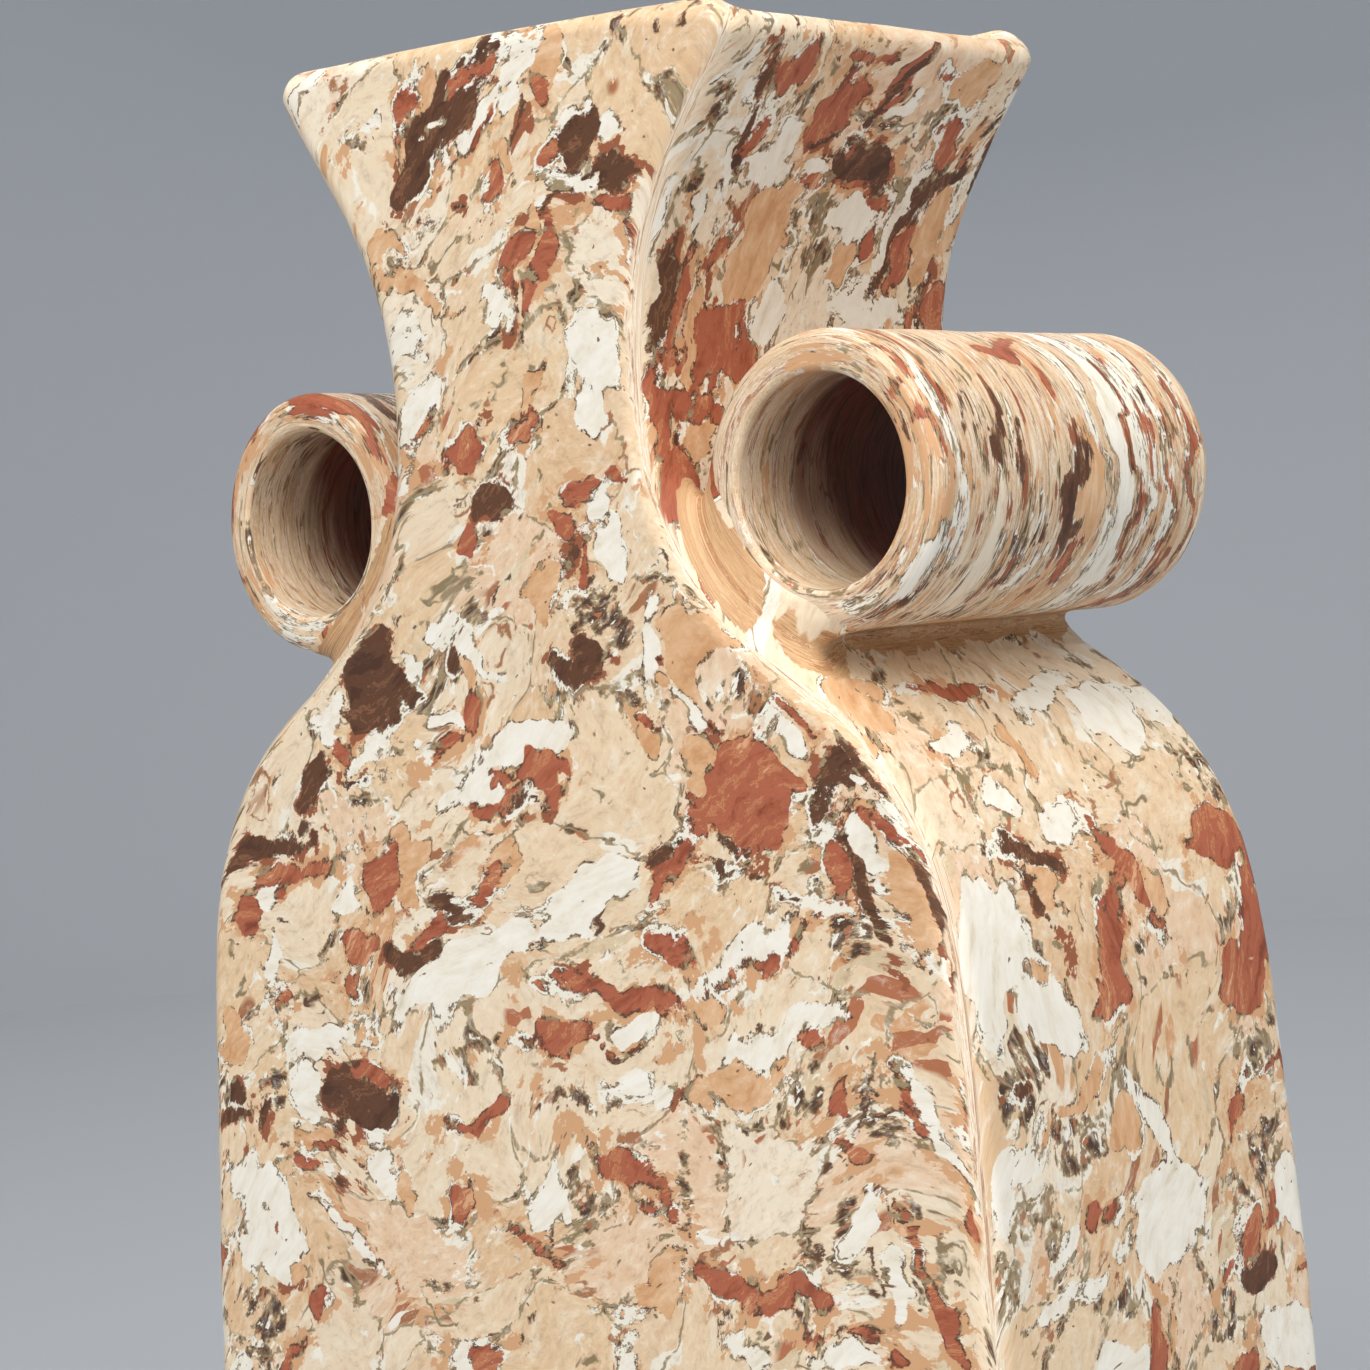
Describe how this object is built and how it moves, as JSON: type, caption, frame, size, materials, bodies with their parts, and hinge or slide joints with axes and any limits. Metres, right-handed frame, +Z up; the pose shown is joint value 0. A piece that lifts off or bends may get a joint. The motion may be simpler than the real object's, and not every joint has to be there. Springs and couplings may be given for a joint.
{
  "type": "flower vase",
  "caption": "Flat slab-built vase in marbled clay, with a narrow neck, a flared rectangular mouth and an open clay tube lying along each side of the neck.",
  "frame": {"origin": "middle of the flat foot, on the surface that the vase stands on", "axes": "+Z up, +X to the right and -Y out of the wide front slab"},
  "size_m": [0.224, 0.1134, 0.384],
  "materials": {
    "wall_clay": "matte",
    "tube_clay": "matte",
    "joining_clay": "matte"
  },
  "bodies": {
    "root": {"base_slab": "wall_clay", "front_wall": "wall_clay", "back_wall": "wall_clay", "left_body_strip": "wall_clay", "left_neck_strip": "wall_clay", "right_body_strip": "wall_clay", "right_neck_strip": "wall_clay", "left_tube": "tube_clay", "right_tube": "tube_clay", "left_lower_coil": "joining_clay", "left_upper_coil": "joining_clay", "right_lower_coil": "joining_clay", "right_upper_coil": "joining_clay"}
  },
  "joints": []
}
